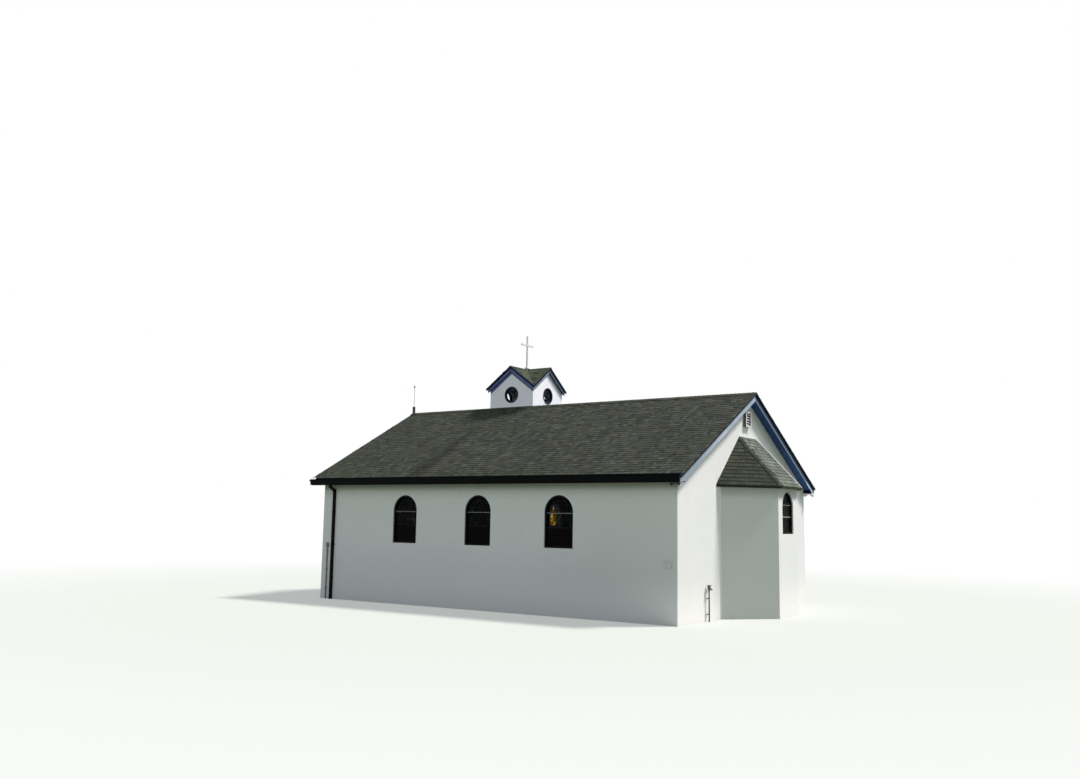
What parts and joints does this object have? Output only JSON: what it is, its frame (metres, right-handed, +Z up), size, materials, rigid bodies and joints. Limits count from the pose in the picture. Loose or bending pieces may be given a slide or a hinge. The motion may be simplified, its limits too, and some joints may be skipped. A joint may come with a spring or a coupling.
{
  "type": "small chapel",
  "caption": "Small stuccoed chapel with a gabled shingle roof, canted apse, arched windows and a gabled cupola with a cross.",
  "frame": {"origin": "ground level at the middle of the long room's footprint, on the underside of the floor slab", "axes": "+X along the ridge towards the apse, +Y towards the long wall away from the viewer of the picture, +Z up"},
  "size_m": [12.643, 8.64, 7.935],
  "materials": {
    "stucco": "painted stucco, matt, weathered",
    "concrete": "trowelled concrete",
    "shingle": "dark green-grey mineral shingles",
    "black_trim": "satin black",
    "blue_paint": "weathered blue paint",
    "navy_paint": "navy paint",
    "black_metal": "satin black sheet",
    "black_frame": "satin black",
    "window_glass": "dark leaded glass with amber panes",
    "clear_glass": "clear",
    "cupola_white": "white painted boarding",
    "white_metal": "white paint, weathered",
    "grey_metal": "dull galvanised"
  },
  "bodies": {
    "root": {"nave_floor": "concrete", "apse_floor": "concrete", "near_wall": "stucco", "far_wall": "stucco", "door_wall_near": "stucco", "door_wall_far": "stucco", "door_gable": "stucco", "apse_end_wall_near": "stucco", "apse_end_wall_far": "stucco", "apse_end_gable": "stucco", "apse_near_wall": "stucco", "apse_far_wall": "stucco", "apse_front_wall": "stucco", "near_roof_slope": "shingle", "far_roof_slope": "shingle", "ridge_cap": "shingle", "near_eave_box": "black_trim", "far_eave_box": "black_trim", "apse_end_rake": "blue_paint", "door_end_rake": "blue_paint", "near_gutter": "black_metal", "far_gutter": "black_metal", "near_downspout": "black_metal", "far_downspout": "black_metal", "near_window_frames": "black_frame", "far_window_frames": "black_frame", "near_window_glass": "window_glass", "far_window_glass": "window_glass", "apse_roof": "shingle", "apse_window_frame": "black_frame", "apse_window_glass": "window_glass", "door_frame": "blue_paint", "door_leaf_near": "blue_paint", "door_leaf_far": "blue_paint", "cupola_walls": "cupola_white", "cupola_roof": "shingle", "cupola_barge_boards": "blue_paint", "cupola_window_rims": "navy_paint", "cupola_window_glass": "clear_glass", "cross": "white_metal", "ridge_rod": "grey_metal", "gable_vent": "white_metal", "standpipe": "grey_metal", "wall_fittings": "grey_metal", "corner_floodlights": "white_metal"}
  },
  "joints": []
}
